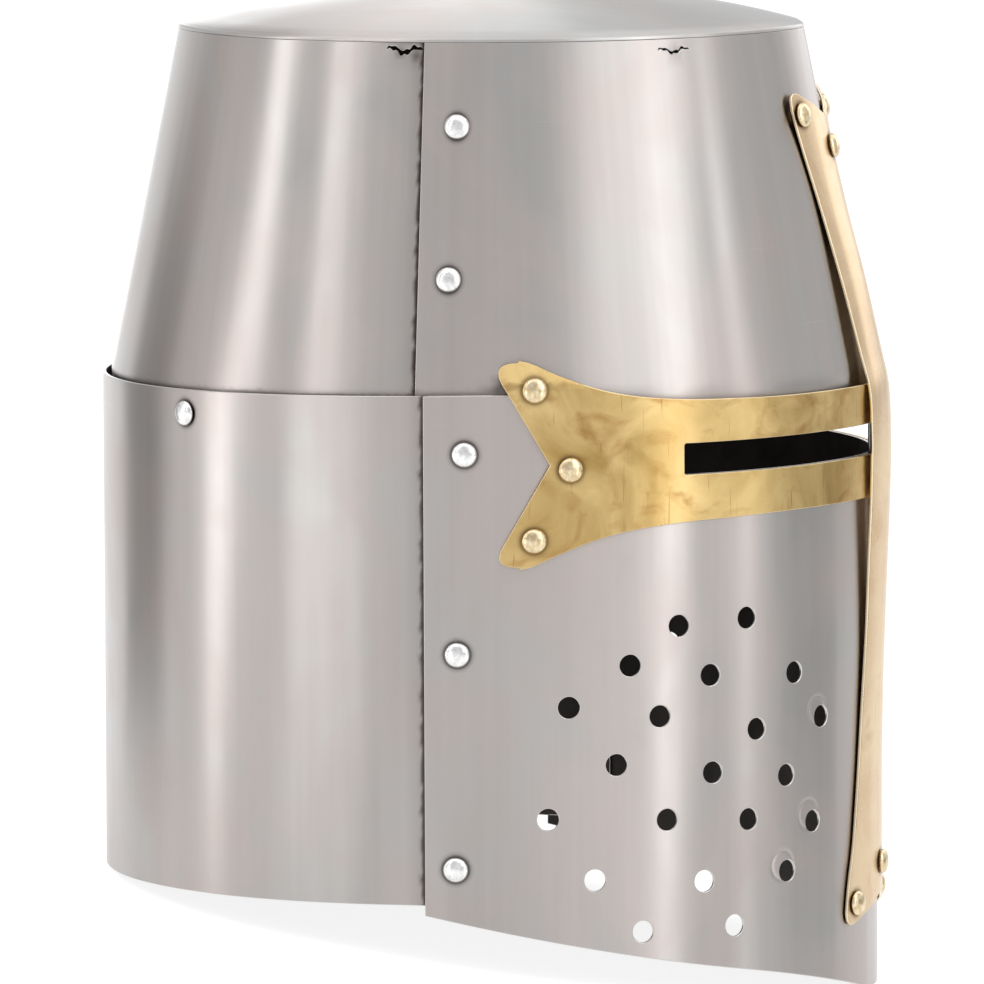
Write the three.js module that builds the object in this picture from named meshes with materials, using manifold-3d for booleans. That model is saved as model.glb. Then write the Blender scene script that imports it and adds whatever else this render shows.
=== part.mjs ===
// Great helm: four curved steel plates, a shallow domed top, and a brass sight band and face bar, riveted together.
// Millimetres, +Z up. The face looks along -Y and the wearer's right side is -X. Heights are first counted from
// the seam between upper and lower plates, and the finished helm is leaned back onto the floor at the very end.
import * as THREE from 'three';
import Module from 'manifold-3d';

const wasm = await Module();
wasm.setup();
const { Manifold, Mesh: SolidMesh } = wasm;
const degree = Math.PI / 180;

// Sheet metal
const sheet = 1.2;
const gap = 0.3;
const layer = sheet + gap;
const bandStandOff = layer + 0.2;

// Plan outline, from the ridge at the front round to the back: arcs up to each normal angle, and one flat facet
const frontReach = 129.3;
const planRows = [
  { until: 7, radius: 32 },
  { straight: 5.6 },
  { until: 14.1, radius: 32 },
  { until: 47.5, radius: 124 },
  { until: 86.2, radius: 146 },
  { until: 99.2, radius: 173.5 },
];

// Heights from the seam
const rimHeight = 113;
const lean = 0.2;
const lowerEdgeOfBack = -166.7;
const skirt = { start: -170.3, slope: 0.2185, tipDrop: 9.1, tipSpan: 83, flatHalfWidth: 9 };
const seamSlope = 0.014;
const flange = 15;
const domeRise = 11;

// Seams, as distances round the outline from the ridge
const frontPlateEnd = { upper: 191.5, lower: 188.4 };
const backPlateEnd = 165;

// Brass sight band and its eye slots
const band = { middle: -22.5, hornTop: 33, hornEnd: 162.5, notch: 147.3, rounding: 7, knee: 3.5 };
const bandEdges = [
  { arc: 0, half: 18.8 },
  { arc: 80, half: 19.4 },
  { arc: 104, half: 20.3 },
  { arc: 121, half: 22.2 },
  { arc: 131, half: 24.4 },
  { arc: 140, half: 27.5 },
  { arc: 147, half: 30.3 },
  { arc: 153, half: 33 },
  { arc: 170, half: 34 },
];
const slot = { from: 6, to: 101.8, half: 5.1, middle: -22 };
const hiddenEdge = { height: -5, until: 146 };

// Brass face bar: its half width, how far its middle stands forward, and how much farther back than the outline's
// section it bends at a distance of bendAt from the ridge, at each height
const bendAt = 20;
const bar = { top: 92, bottom: -182, topHorn: 26.4, lowHorn: 29.9, topNotch: 8, lowNotch: 7.5, rounding: 6 };
const barRows = [
  { height: -190, reach: 130.9, half: 29.9, bend: 0 },
  { height: -178, reach: 130.9, half: 29.9, bend: 0 },
  { height: -168, reach: 130.9, half: 28.2, bend: 0 },
  { height: -158, reach: 130.9, half: 25.6, bend: 0 },
  { height: -143, reach: 130.9, half: 23.1, bend: 0 },
  { height: -110, reach: 131.3, half: 19.0, bend: 0.3 },
  { height: -90, reach: 132.0, half: 16.9, bend: 0.9 },
  { height: -60, reach: 133.2, half: 16.3, bend: 1.4 },
  { height: -40, reach: 134.0, half: 16.4, bend: 1.3 },
  { height: -20, reach: 134.2, half: 16.7, bend: 1 },
  { height: -4, reach: 133.2, half: 17.1, bend: 0.7 },
  { height: 5, reach: 131.2, half: 17.4, bend: 1 },
  { height: 30, reach: 125.6, half: 18.3, bend: 1.6 },
  { height: 55, reach: 119.0, half: 20.4, bend: 1 },
  { height: 75, reach: 114.4, half: 24.0, bend: 0.6 },
  { height: 86, reach: 112.25, half: 26.4, bend: 0.4 },
  { height: 97, reach: 110.1, half: 27.2, bend: 0.4 },
];

// Breath holes on each side of the face
const breathHole = 7.2;
const leftShift = { arc: 1.5, height: -3.5, above: -170 };
const breathHoles = [
  { arc: 77.2, height: -75.6 },
  { arc: 103.2, height: -76.6 },
  { arc: 56.2, height: -95.3 },
  { arc: 91.6, height: -93.4 },
  { arc: 120.4, height: -88.8 },
  { arc: 42.6, height: -111.1 },
  { arc: 73.2, height: -112.5 },
  { arc: 110.1, height: -105.9 },
  { arc: 141.1, height: -101.9 },
  { arc: 60.1, height: -128.9 },
  { arc: 90.8, height: -125.5 },
  { arc: 125.2, height: -121.2 },
  { arc: 47.1, height: -145.4 },
  { arc: 76.6, height: -142.0 },
  { arc: 107.6, height: -140.0 },
  { arc: 148.1, height: -138.4 },
  { arc: 59.7, height: -160.6 },
  { arc: 94.1, height: -161.1 },
  { arc: 132.6, height: -158.8 },
  { arc: 82.4, height: -176.6 },
  { arc: 116.2, height: -176.4 },
];

// Rivets, each on both sides unless it sits on the ridge
const rivet = { head: 4.1, rise: 2.3, shank: 1.9, clench: 2.9, clenchThick: 1.0, clearance: 0.3 };
const rivetRows = [
  { name: 'upper_seam_rivet_top', on: 'upperSeam', arc: 178.4, height: 86.0 },
  { name: 'upper_seam_rivet_low', on: 'upperSeam', arc: 180.8, height: 37.0 },
  { name: 'lower_seam_rivet_top', on: 'lowerSeam', arc: 174.9, height: -18.9 },
  { name: 'lower_seam_rivet_middle', on: 'lowerSeam', arc: 177.5, height: -84.2 },
  { name: 'lower_seam_rivet_low', on: 'lowerSeam', arc: 178.3, height: -154.6 },
  { name: 'back_rivet', on: 'backSeam', arc: 277.9, height: -9.0 },
  { name: 'band_rivet_top', on: 'bandTop', arc: 152.2, height: 2.0 },
  { name: 'band_rivet_middle', on: 'band', arc: 140.7, height: -24.0 },
  { name: 'band_rivet_low', on: 'band', arc: 152.6, height: -47.0 },
  { name: 'bar_rivet_top', on: 'barTop', arc: 21.4, height: 85.4 },
  { name: 'bar_rivet_low', on: 'barLow', arc: 23.9, height: -175.4 },
  { name: 'bar_rivet_top_centre', on: 'barTop', arc: 0, height: 73.8 },
  { name: 'bar_rivet_low_centre', on: 'barLow', arc: 0, height: -164.5 },
];

// The plan outline: where each row starts, and then any place at a distance from the ridge
function buildPlan() {
  const starts = [];
  let spot = { arc: 0, side: 0, forward: frontReach, angle: 0 };
  for (const row of planRows) {
    const radius = row.radius ?? Infinity;
    const start = { ...spot, radius };
    starts.push(start);
    const length = row.straight ?? radius * (row.until * degree - spot.angle);
    spot = { ...alongRow(start, length), arc: spot.arc + length };
  }
  const radius = spot.side / Math.sin(spot.angle);
  starts.push({ ...spot, radius });
  return { starts, half: spot.arc + radius * (Math.PI - spot.angle) };
}

function alongRow(start, length) {
  if (start.radius === Infinity) {
    const side = start.side + length * Math.cos(start.angle);
    return { side, forward: start.forward - length * Math.sin(start.angle), angle: start.angle };
  }
  const angle = start.angle + length / start.radius;
  const side = start.side + start.radius * (Math.sin(angle) - Math.sin(start.angle));
  const forward = start.forward + start.radius * (Math.cos(angle) - Math.cos(start.angle));
  return { side, forward, angle };
}

const plan = buildPlan();

function planSpot(distance) {
  const wrapped = distance > plan.half ? distance - 2 * plan.half : distance;
  const arc = Math.abs(wrapped);
  const start = plan.starts.findLast((spot) => spot.arc <= arc);
  return { hand: wrapped < 0 ? 1 : -1, ...alongRow(start, arc - start.arc) };
}

// A point of the helm: distance round the outline, millimetres inward from it, and height
function place(distance, inward, height) {
  const spot = planSpot(distance);
  const x = spot.hand * (spot.side - inward * Math.sin(spot.angle));
  const y = -(spot.forward - inward * Math.cos(spot.angle));
  return new THREE.Vector3(x, y, height);
}

function ramp(value, low, high) {
  return THREE.MathUtils.clamp((value - low) / (high - low), 0, 1);
}

function forwardOf(distance) {
  return planSpot(distance).forward;
}

// How far each plate's outer face lies inside the outline
const inset = {
  lowerFront: () => 0,
  lowerBack: () => layer,
  upperFront: (distance, height) =>
    layer + layer * ramp(Math.abs(distance), 60, 160) + lean * Math.max(height, 0),
  upperBack: (distance, height) => 3 * layer + lean * Math.max(height, 0),
  band: (distance, height) => -bandStandOff + 0.55 * Math.max(height - band.knee, 0),
};

function interpolant(rows, from, to) {
  const smooth = new THREE.CubicInterpolant(rows.map((row) => row[from]), rows.map((row) => row[to]), 1);
  return (value) => smooth.evaluate(value)[0];
}

const reachOfBar = interpolant(barRows, 'height', 'reach');
const halfOfBar = interpolant(barRows, 'height', 'half');
const bendOfBar = interpolant(barRows, 'height', 'bend');

function placeOnBar(distance, inward, height) {
  const spot = place(distance, inward, height);
  spot.y += frontReach - reachOfBar(height) + bendOfBar(height) * (distance / bendAt) ** 2;
  return spot;
}

function skirtEdge(distance) {
  const arc = Math.max(Math.abs(distance), skirt.flatHalfWidth);
  const nearTip = Math.max(1 - arc / skirt.tipSpan, 0);
  return skirt.start - skirt.slope * forwardOf(arc) - skirt.tipDrop * nearTip * nearTip;
}

function frontTopEdge(distance) {
  return Math.abs(distance) > hiddenEdge.until ? seamSlope * forwardOf(distance) : hiddenEdge.height;
}

// Solids from three.js geometries and back
function solidOf(geometry) {
  const plain = new THREE.BufferGeometry();
  plain.setAttribute('position', geometry.getAttribute('position'));
  plain.setIndex(geometry.getIndex());
  const joined = mergeCorners(plain);
  return new Manifold(new SolidMesh({ numProp: 3, vertProperties: joined.places, triVerts: joined.faces }));
}

function mergeCorners(geometry) {
  const position = geometry.getAttribute('position');
  const index = geometry.getIndex();
  const known = new Map();
  const places = [];
  const renamed = [];
  for (let i = 0; i < position.count; i += 1) {
    const key = [position.getX(i), position.getY(i), position.getZ(i)].map((v) => Math.round(v * 1e4)).join();
    if (!known.has(key)) {
      known.set(key, places.length / 3);
      places.push(position.getX(i), position.getY(i), position.getZ(i));
    }
    renamed.push(known.get(key));
  }
  const faces = [];
  const count = index ? index.count : position.count;
  for (let i = 0; i < count; i += 3) {
    const corners = [0, 1, 2].map((k) => renamed[index ? index.getX(i + k) : i + k]);
    if (new Set(corners).size === 3) {
      faces.push(...corners);
    }
  }
  return { places: new Float32Array(places), faces: new Uint32Array(faces) };
}

function geometryOf(solid) {
  const mesh = solid.getMesh();
  const geometry = new THREE.BufferGeometry();
  geometry.setAttribute('position', new THREE.BufferAttribute(new Float32Array(mesh.vertProperties), 3));
  geometry.setIndex(new THREE.BufferAttribute(new Uint32Array(mesh.triVerts), 1));
  const faceted = geometry.toNonIndexed();
  faceted.computeVertexNormals();
  return faceted;
}

// A sheet: a box with its length, depth and height cut into steps, laid on the helm by the given function of its
// shares along, inward and up
function laidSheet(across, up, lay) {
  const box = new THREE.BoxGeometry(1, 1, 1, across, 1, up);
  const position = box.getAttribute('position');
  for (let i = 0; i < position.count; i += 1) {
    const spot = lay(position.getX(i) + 0.5, 0.5 - position.getY(i), position.getZ(i) + 0.5);
    position.setXYZ(i, spot.x, spot.y, spot.z);
  }
  return solidOf(box);
}

// A plate whose length runs round the outline and whose height climbs a list of edges
function bentSheet({ from, to, rows, outer, thick = sheet, across }) {
  return laidSheet(across, rows.length - 1, (along, inward, up) => {
    const distance = THREE.MathUtils.lerp(from, to, along);
    const step = up * (rows.length - 1);
    const row = Math.min(Math.floor(step + 1e-6), rows.length - 2);
    const height = THREE.MathUtils.lerp(rows[row](distance), rows[row + 1](distance), step - row);
    return place(distance, outer(distance, height) + inward * thick, height);
  });
}

// What is cut away past a fishtail: everything beyond its notch and its two rounded horns
function fishtailCutter({ notchDepth, hornWidth, rounding }, frame) {
  const corner = (rounding * notchDepth) / (hornWidth - rounding);
  const shoulder = -0.72 * rounding;
  const outline = new THREE.Shape();
  outline.moveTo(-notchDepth, 0);
  outline.lineTo(0, hornWidth - rounding);
  outline.quadraticCurveTo(corner, hornWidth, shoulder, hornWidth + 0.4);
  outline.lineTo(shoulder, hornWidth + 15);
  outline.lineTo(15, hornWidth + 15);
  outline.lineTo(15, -hornWidth - 15);
  outline.lineTo(shoulder, -hornWidth - 15);
  outline.lineTo(shoulder, -hornWidth - 0.4);
  outline.quadraticCurveTo(corner, -hornWidth, 0, -hornWidth + rounding);
  const block = new THREE.ExtrudeGeometry(outline, { depth: 20, bevelEnabled: false, curveSegments: 4 });
  block.translate(0, 0, -10);
  block.applyMatrix4(frame);
  return solidOf(block);
}

// Rivets and the holes that they pass through
const seats = {
  upperSeam: (row) => ({ outer: inset.upperFront(row.arc, row.height), stack: 2 * sheet + gap, leaned: true }),
  lowerSeam: () => ({ outer: 0, stack: 2 * sheet + gap }),
  backSeam: () => ({ outer: layer, stack: 2 * layer + sheet }),
  band: () => ({ outer: -bandStandOff, stack: sheet + bandStandOff }),
  bandTop: (row) => {
    const outer = inset.band(row.arc, row.height);
    return { outer, stack: inset.upperFront(row.arc, row.height + rivet.clench) + sheet - outer };
  },
  barTop: (row) => barSeat(row, inset.upperFront(row.arc, row.height), true),
  barLow: (row) => barSeat(row, 0, false),
};

// The bar's rivets pass from the bar's face to the back of the plate behind it
function barSeat(row, plateInset, leaned) {
  const face = placeOnBar(row.arc, 0, row.height);
  const behind = place(arcBehind(Math.abs(face.x), plateInset), plateInset, row.height);
  const depth = (behind.y - face.y) * Math.cos(planSpot(row.arc).angle);
  return { onBar: true, stack: depth + sheet, leaned };
}

function arcBehind(side, inward) {
  let low = 0;
  let high = plan.half / 2;
  for (let i = 0; i < 30; i += 1) {
    const middle = (low + high) / 2;
    const spot = planSpot(middle);
    if (spot.side - inward * Math.sin(spot.angle) < side) {
      low = middle;
    } else {
      high = middle;
    }
  }
  return low;
}

function rivetFrame(row, hand) {
  const seat = seats[row.on](row);
  const distance = -hand * row.arc;
  const spot = seat.onBar ? placeOnBar(distance, 0, row.height) : place(distance, seat.outer, row.height);
  const level = place(distance, -1, row.height).sub(place(distance, 0, row.height));
  const outward = seat.leaned ? level.add(new THREE.Vector3(0, 0, lean)).normalize() : level;
  const turn = new THREE.Quaternion().setFromUnitVectors(new THREE.Vector3(0, 1, 0), outward);
  return { spot, turn, stack: seat.stack };
}

function rivetGeometry(stack) {
  const foot = -stack - rivet.clearance - rivet.clenchThick;
  const profile = [
    [0, foot],
    [rivet.clench, foot + rivet.clenchThick],
    [rivet.shank, foot + rivet.clenchThick],
    [rivet.shank, rivet.clearance],
    [rivet.head, rivet.clearance],
    [rivet.head * 0.7, rivet.clearance + rivet.rise * 0.75],
    [0, rivet.clearance + rivet.rise],
  ];
  return new THREE.LatheGeometry(profile.map(([r, y]) => new THREE.Vector2(r, y)), 10);
}

function pin(spot, turn, radius, sides, length = 16) {
  const rod = new THREE.CylinderGeometry(radius, radius, length, sides);
  rod.applyQuaternion(turn);
  rod.translate(spot.x, spot.y, spot.z);
  return solidOf(rod);
}

function allRivets() {
  const list = [];
  for (const row of rivetRows) {
    const hands = row.arc === 0 ? [{ name: row.name, hand: -1 }] : [
      { name: `${row.name}_right`, hand: -1 },
      { name: `${row.name}_left`, hand: 1 },
    ];
    for (const { name, hand } of hands) {
      list.push({ name, row, ...rivetFrame(row, hand) });
    }
  }
  return list;
}

const rivets = allRivets();

function rivetHoles(kinds) {
  const passing = rivets.filter((item) => kinds.includes(item.row.on));
  return passing.map((item) => pin(item.spot, item.turn, rivet.shank + rivet.clearance, 6));
}

function cutAway(solid, cutters) {
  return cutters.length ? solid.subtract(Manifold.union(cutters)) : solid;
}

function breathHolePins() {
  const pins = [];
  for (const hole of breathHoles) {
    for (const hand of [-1, 1]) {
      const shift = hand > 0 && hole.height > leftShift.above ? leftShift : { arc: 0, height: 0 };
      const distance = -hand * (hole.arc + shift.arc);
      const spot = place(distance, 0, hole.height + shift.height);
      const outward = place(distance, -1, hole.height + shift.height).sub(spot).normalize();
      const turn = new THREE.Quaternion().setFromUnitVectors(new THREE.Vector3(0, 1, 0), outward);
      pins.push(pin(spot, turn, breathHole / 2, 10, 10));
    }
  }
  return pins;
}

function slotCutter(hand) {
  return bentSheet({
    from: hand * (hand > 0 ? slot.from : slot.to),
    to: hand * (hand > 0 ? slot.to : slot.from),
    rows: [() => slot.middle - slot.half, () => slot.middle + slot.half],
    outer: () => -3,
    thick: 8,
    across: 16,
  });
}

// Steel plates
function lowerFrontPlate() {
  const plate = bentSheet({
    from: -frontPlateEnd.lower,
    to: frontPlateEnd.lower,
    rows: [skirtEdge, frontTopEdge],
    outer: inset.lowerFront,
    across: 48,
  });
  const rivetCuts = rivetHoles(['lowerSeam', 'band', 'bandTop', 'barLow']);
  return cutAway(plate, [...breathHolePins(), ...rivetCuts, slotCutter(1), slotCutter(-1)]);
}

function lowerBackPlate() {
  const plate = bentSheet({
    from: backPlateEnd,
    to: 2 * plan.half - backPlateEnd,
    rows: [() => lowerEdgeOfBack, (distance) => seamSlope * forwardOf(distance)],
    outer: inset.lowerBack,
    across: 50,
  });
  return cutAway(plate, rivetHoles(['lowerSeam', 'backSeam']));
}

function upperFrontPlate() {
  const plate = bentSheet({
    from: -frontPlateEnd.upper,
    to: frontPlateEnd.upper,
    rows: [() => -flange, () => 0, () => rimHeight],
    outer: inset.upperFront,
    across: 52,
  });
  return cutAway(plate, rivetHoles(['upperSeam', 'bandTop', 'barTop']));
}

function upperBackPlate() {
  const plate = bentSheet({
    from: backPlateEnd,
    to: 2 * plan.half - backPlateEnd,
    rows: [() => -flange, () => 0, () => rimHeight],
    outer: inset.upperBack,
    across: 52,
  });
  return cutAway(plate, rivetHoles(['upperSeam', 'backSeam']));
}

// The top: rings of a shallow dome whose edge follows the rim
function topPlate() {
  const rings = [0, 0.4, 0.75, 1];
  const crown = (share) => domeRise * (1 - Math.pow(share, 2.6));
  const upward = rings.map((share) => new THREE.Vector2(share, crown(share) + sheet));
  const downward = rings.toReversed().map((share) => new THREE.Vector2(share, crown(share)));
  const dome = new THREE.LatheGeometry([...downward.toReversed(), ...upward.toReversed()], 52);
  const position = dome.getAttribute('position');
  const middle = (forwardOf(0) + forwardOf(plan.half)) / 2;
  for (let i = 0; i < position.count; i += 1) {
    const share = Math.hypot(position.getX(i), position.getZ(i));
    const turn = Math.atan2(-position.getX(i), position.getZ(i)) / Math.PI;
    const distance = turn * plan.half;
    const backShare = ramp(Math.abs(distance), frontPlateEnd.upper, frontPlateEnd.upper + 24);
    const edgeInset = inset.upperFront(distance, rimHeight) + layer * backShare;
    const edge = place(distance, edgeInset, rimHeight + gap);
    position.setXYZ(i, edge.x * share, -middle + (edge.y + middle) * share, edge.z + position.getY(i));
  }
  return solidOf(dome);
}

// Brass pieces
const bandEdge = interpolant(bandEdges, 'arc', 'half');

function sightBand() {
  const { middle, hornEnd } = band;
  const edge = (side) => (distance) => middle + side * bandEdge(Math.abs(distance));
  const knee = (distance) => Math.min(band.knee, edge(1)(distance) - 1);
  const strip = bentSheet({
    from: -hornEnd,
    to: hornEnd,
    rows: [edge(-1), () => slot.middle - slot.half, () => slot.middle + slot.half, knee, edge(1)],
    outer: inset.band,
    across: 48,
  });
  const ends = [-1, 1].map((hand) => {
    const corner = place(hand * hornEnd, 0, middle);
    const along = corner.clone().sub(place(hand * (hornEnd - 12), 0, middle)).normalize();
    const up = new THREE.Vector3(0, 0, 1);
    const frame = new THREE.Matrix4().makeBasis(along, up, along.clone().cross(up)).setPosition(corner);
    const shape = { notchDepth: hornEnd - band.notch, hornWidth: band.hornTop, rounding: band.rounding };
    return fishtailCutter(shape, frame);
  });
  return cutAway(strip, [...ends, slotCutter(1), slotCutter(-1), ...rivetHoles(['band', 'bandTop'])]);
}

function faceBar() {
  const strip = laidSheet(6, 24, (along, inward, up) => {
    const height = THREE.MathUtils.lerp(bar.bottom, bar.top, up);
    return placeOnBar((2 * along - 1) * halfOfBar(height), inward * sheet, height);
  });
  const ends = [
    { side: 1, height: bar.top, hornWidth: bar.topHorn, notchDepth: bar.topNotch },
    { side: -1, height: bar.bottom, hornWidth: bar.lowHorn, notchDepth: bar.lowNotch },
  ].map(({ side, height, hornWidth, notchDepth }) => {
    const along = new THREE.Vector3(0, 0, side);
    const across = new THREE.Vector3(1, 0, 0);
    const corner = new THREE.Vector3(0, -frontReach, height);
    const frame = new THREE.Matrix4().makeBasis(along, across, along.clone().cross(across)).setPosition(corner);
    const deep = new THREE.Matrix4().makeScale(1, 1, 4);
    return fishtailCutter({ notchDepth, hornWidth, rounding: bar.rounding }, frame.multiply(deep));
  });
  return cutAway(strip, [...ends, ...rivetHoles(['barTop', 'barLow'])]);
}

// Materials
const steel = new THREE.MeshStandardMaterial({ name: 'steel', color: 0xa8a29d, roughness: 0.34, metalness: 1 });
const topSteel = new THREE.MeshStandardMaterial({ name: 'top_steel', color: 0xb8b4ae, roughness: 0.38, metalness: 1 });
const brass = new THREE.MeshStandardMaterial({ name: 'brass', color: 0xc8a368, roughness: 0.3, metalness: 1 });
const steelRivet = new THREE.MeshStandardMaterial({ name: 'rivet_steel', color: 0xc9c7c4, roughness: 0.3, metalness: 1 });
const brassRivet = new THREE.MeshStandardMaterial({ name: 'rivet_brass', color: 0xc6b08a, roughness: 0.3, metalness: 1 });

function addPiece(group, name, geometry, material) {
  const piece = new THREE.Mesh(geometry, material);
  piece.name = name;
  group.add(piece);
  return piece;
}

// The helm upright, with its heights counted from the seam
const helm = new THREE.Group();
addPiece(helm, 'top_plate', geometryOf(topPlate()), topSteel);
addPiece(helm, 'upper_front_plate', geometryOf(upperFrontPlate()), steel);
addPiece(helm, 'upper_back_plate', geometryOf(upperBackPlate()), steel);
addPiece(helm, 'lower_front_plate', geometryOf(lowerFrontPlate()), steel);
addPiece(helm, 'lower_back_plate', geometryOf(lowerBackPlate()), steel);
addPiece(helm, 'sight_band', geometryOf(sightBand()), brass);
addPiece(helm, 'face_bar', geometryOf(faceBar()), brass);
for (const item of rivets) {
  const onBrass = /^(band|bar)/.test(item.row.on);
  const piece = addPiece(helm, item.name, rivetGeometry(item.stack), onBrass ? brassRivet : steelRivet);
  piece.position.copy(item.spot);
  piece.quaternion.copy(item.turn);
}

// On the floor it stands on the tip of the face and the back edge, which leans it back
const frontFoot = place(skirt.flatHalfWidth, sheet, skirtEdge(0));
const backFoot = place(plan.half, layer, lowerEdgeOfBack);
helm.rotation.x = -Math.atan2(backFoot.z - frontFoot.z, backFoot.y - frontFoot.y);

const greatHelm = new THREE.Group();
greatHelm.name = 'great_helm';
greatHelm.add(helm);
greatHelm.updateMatrixWorld(true);
const reachBox = new THREE.Box3().setFromObject(helm, true);
const middleOfBox = reachBox.getCenter(new THREE.Vector3());
helm.position.set(-middleOfBox.x, -middleOfBox.y, -reachBox.min.z);

export default greatHelm;
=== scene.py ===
import math

import bpy
import numpy as np
from mathutils import Matrix, Vector
from mathutils.geometry import delaunay_2d_cdt
from mathutils.kdtree import KDTree

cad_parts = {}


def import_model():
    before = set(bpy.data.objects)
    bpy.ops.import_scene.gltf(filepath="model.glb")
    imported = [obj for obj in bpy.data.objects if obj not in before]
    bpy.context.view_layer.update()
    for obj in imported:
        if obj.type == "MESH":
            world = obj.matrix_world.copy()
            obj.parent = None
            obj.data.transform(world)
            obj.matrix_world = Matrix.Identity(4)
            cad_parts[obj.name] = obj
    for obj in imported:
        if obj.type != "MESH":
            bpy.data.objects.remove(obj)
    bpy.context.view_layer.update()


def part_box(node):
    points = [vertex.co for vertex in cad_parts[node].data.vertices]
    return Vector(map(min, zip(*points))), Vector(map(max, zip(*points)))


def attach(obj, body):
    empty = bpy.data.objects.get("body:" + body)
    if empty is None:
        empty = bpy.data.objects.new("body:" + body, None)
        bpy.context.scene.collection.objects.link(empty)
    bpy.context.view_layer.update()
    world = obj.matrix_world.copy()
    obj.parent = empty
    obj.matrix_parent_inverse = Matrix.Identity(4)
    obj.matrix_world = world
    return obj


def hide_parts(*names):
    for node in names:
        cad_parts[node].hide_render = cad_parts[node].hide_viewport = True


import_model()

# Lengths are millimetres on the upright helm, and heights count from the seam between upper and lower plates.
# A place on it is a distance round the plan outline from the ridge, a height, and how far it lies inward.
SHEET = 1.2
GAP = 0.3
LAYER = SHEET + GAP
BAND_STAND_OFF = LAYER + 0.2
FRONT_REACH = 129.3
RIM = 113.0
LEAN = 0.2
BACK_EDGE = -166.7
SKIRT = {"start": -170.3, "slope": 0.2185, "tip_drop": 9.1, "tip_span": 83.0, "flat": 9.0}
SEAM_SLOPE = 0.014
FLANGE = 15.0
DOME = {"rise": 11.0, "power": 2.6, "back_blend": 24.0, "segments": 160}
FRONT_END = {"upper": 191.5, "lower": 188.4}
TUCK = {"from": 60.0, "to": 160.0}
BACK_START = 165.0
BAND = {
    "middle": -22.5,
    "horn": 33.0,
    "end": 162.5,
    "notch": 15.2,
    "round": 7.0,
    "knee": 3.5,
    "bend_in": 0.55,
}
SLOT = {"from": 6.0, "to": 101.8, "half": 5.1, "middle": -22.0}
BAR = {
    "top": 92.0,
    "bottom": -182.0,
    "top_horn": 26.4,
    "low_horn": 29.9,
    "top_notch": 8.0,
    "low_notch": 7.5,
    "round": 6.0,
    "stand_off": 4.0,
}
BEND_AT = 20.0
SHOULDER = 0.72
HORN_MARGIN = 0.6
HIDDEN_EDGE = {"height": -5.0, "until": 146.0}
BREATH_HOLE = 3.6
RIVET = {"head": 4.1, "rise": 2.3, "shank": 1.9, "clench": 2.9, "clench_thick": 1.0, "clearance": 0.3}
HEAD_EDGE = 0.25
RIVET_SIDES = 40
DENT = {"wide": 0.10, "close": 0.035}

# Plan outline from the ridge: up to each normal angle in degrees on a radius, or straight on
PLAN_ROWS = [
    {"until": 7.0, "radius": 32.0},
    {"straight": 5.6},
    {"until": 14.1, "radius": 32.0},
    {"until": 47.5, "radius": 124.0},
    {"until": 86.2, "radius": 146.0},
    {"until": 99.2, "radius": 173.5},
]
BAND_EDGES = [
    {"arc": 0, "half": 18.8},
    {"arc": 80, "half": 19.4},
    {"arc": 104, "half": 20.3},
    {"arc": 121, "half": 22.2},
    {"arc": 131, "half": 24.4},
    {"arc": 140, "half": 27.5},
    {"arc": 147, "half": 30.3},
    {"arc": 153, "half": 33.0},
    {"arc": 170, "half": 34.0},
]
BAR_ROWS = [
    {"height": -190, "reach": 130.9, "half": 29.9, "bend": 0},
    {"height": -178, "reach": 130.9, "half": 29.9, "bend": 0},
    {"height": -168, "reach": 130.9, "half": 28.2, "bend": 0},
    {"height": -158, "reach": 130.9, "half": 25.6, "bend": 0},
    {"height": -143, "reach": 130.9, "half": 23.1, "bend": 0},
    {"height": -110, "reach": 131.3, "half": 19.0, "bend": 0.3},
    {"height": -90, "reach": 132.0, "half": 16.9, "bend": 0.9},
    {"height": -60, "reach": 133.2, "half": 16.3, "bend": 1.4},
    {"height": -40, "reach": 134.0, "half": 16.4, "bend": 1.3},
    {"height": -20, "reach": 134.2, "half": 16.7, "bend": 1},
    {"height": -4, "reach": 133.2, "half": 17.1, "bend": 0.7},
    {"height": 5, "reach": 131.2, "half": 17.4, "bend": 1},
    {"height": 30, "reach": 125.6, "half": 18.3, "bend": 1.6},
    {"height": 55, "reach": 119.0, "half": 20.4, "bend": 1},
    {"height": 75, "reach": 114.4, "half": 24.0, "bend": 0.6},
    {"height": 86, "reach": 112.25, "half": 26.4, "bend": 0.4},
    {"height": 97, "reach": 110.1, "half": 27.2, "bend": 0.4},
]
LEFT_SHIFT = {"arc": 1.5, "height": -3.5, "above": -170.0}
BREATH_HOLES = [
    {"arc": 77.2, "height": -75.6},
    {"arc": 103.2, "height": -76.6},
    {"arc": 56.2, "height": -95.3},
    {"arc": 91.6, "height": -93.4},
    {"arc": 120.4, "height": -88.8},
    {"arc": 42.6, "height": -111.1},
    {"arc": 73.2, "height": -112.5},
    {"arc": 110.1, "height": -105.9},
    {"arc": 141.1, "height": -101.9},
    {"arc": 60.1, "height": -128.9},
    {"arc": 90.8, "height": -125.5},
    {"arc": 125.2, "height": -121.2},
    {"arc": 47.1, "height": -145.4},
    {"arc": 76.6, "height": -142.0},
    {"arc": 107.6, "height": -140.0},
    {"arc": 148.1, "height": -138.4},
    {"arc": 59.7, "height": -160.6},
    {"arc": 94.1, "height": -161.1},
    {"arc": 132.6, "height": -158.8},
    {"arc": 82.4, "height": -176.6},
    {"arc": 116.2, "height": -176.4},
]
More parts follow.
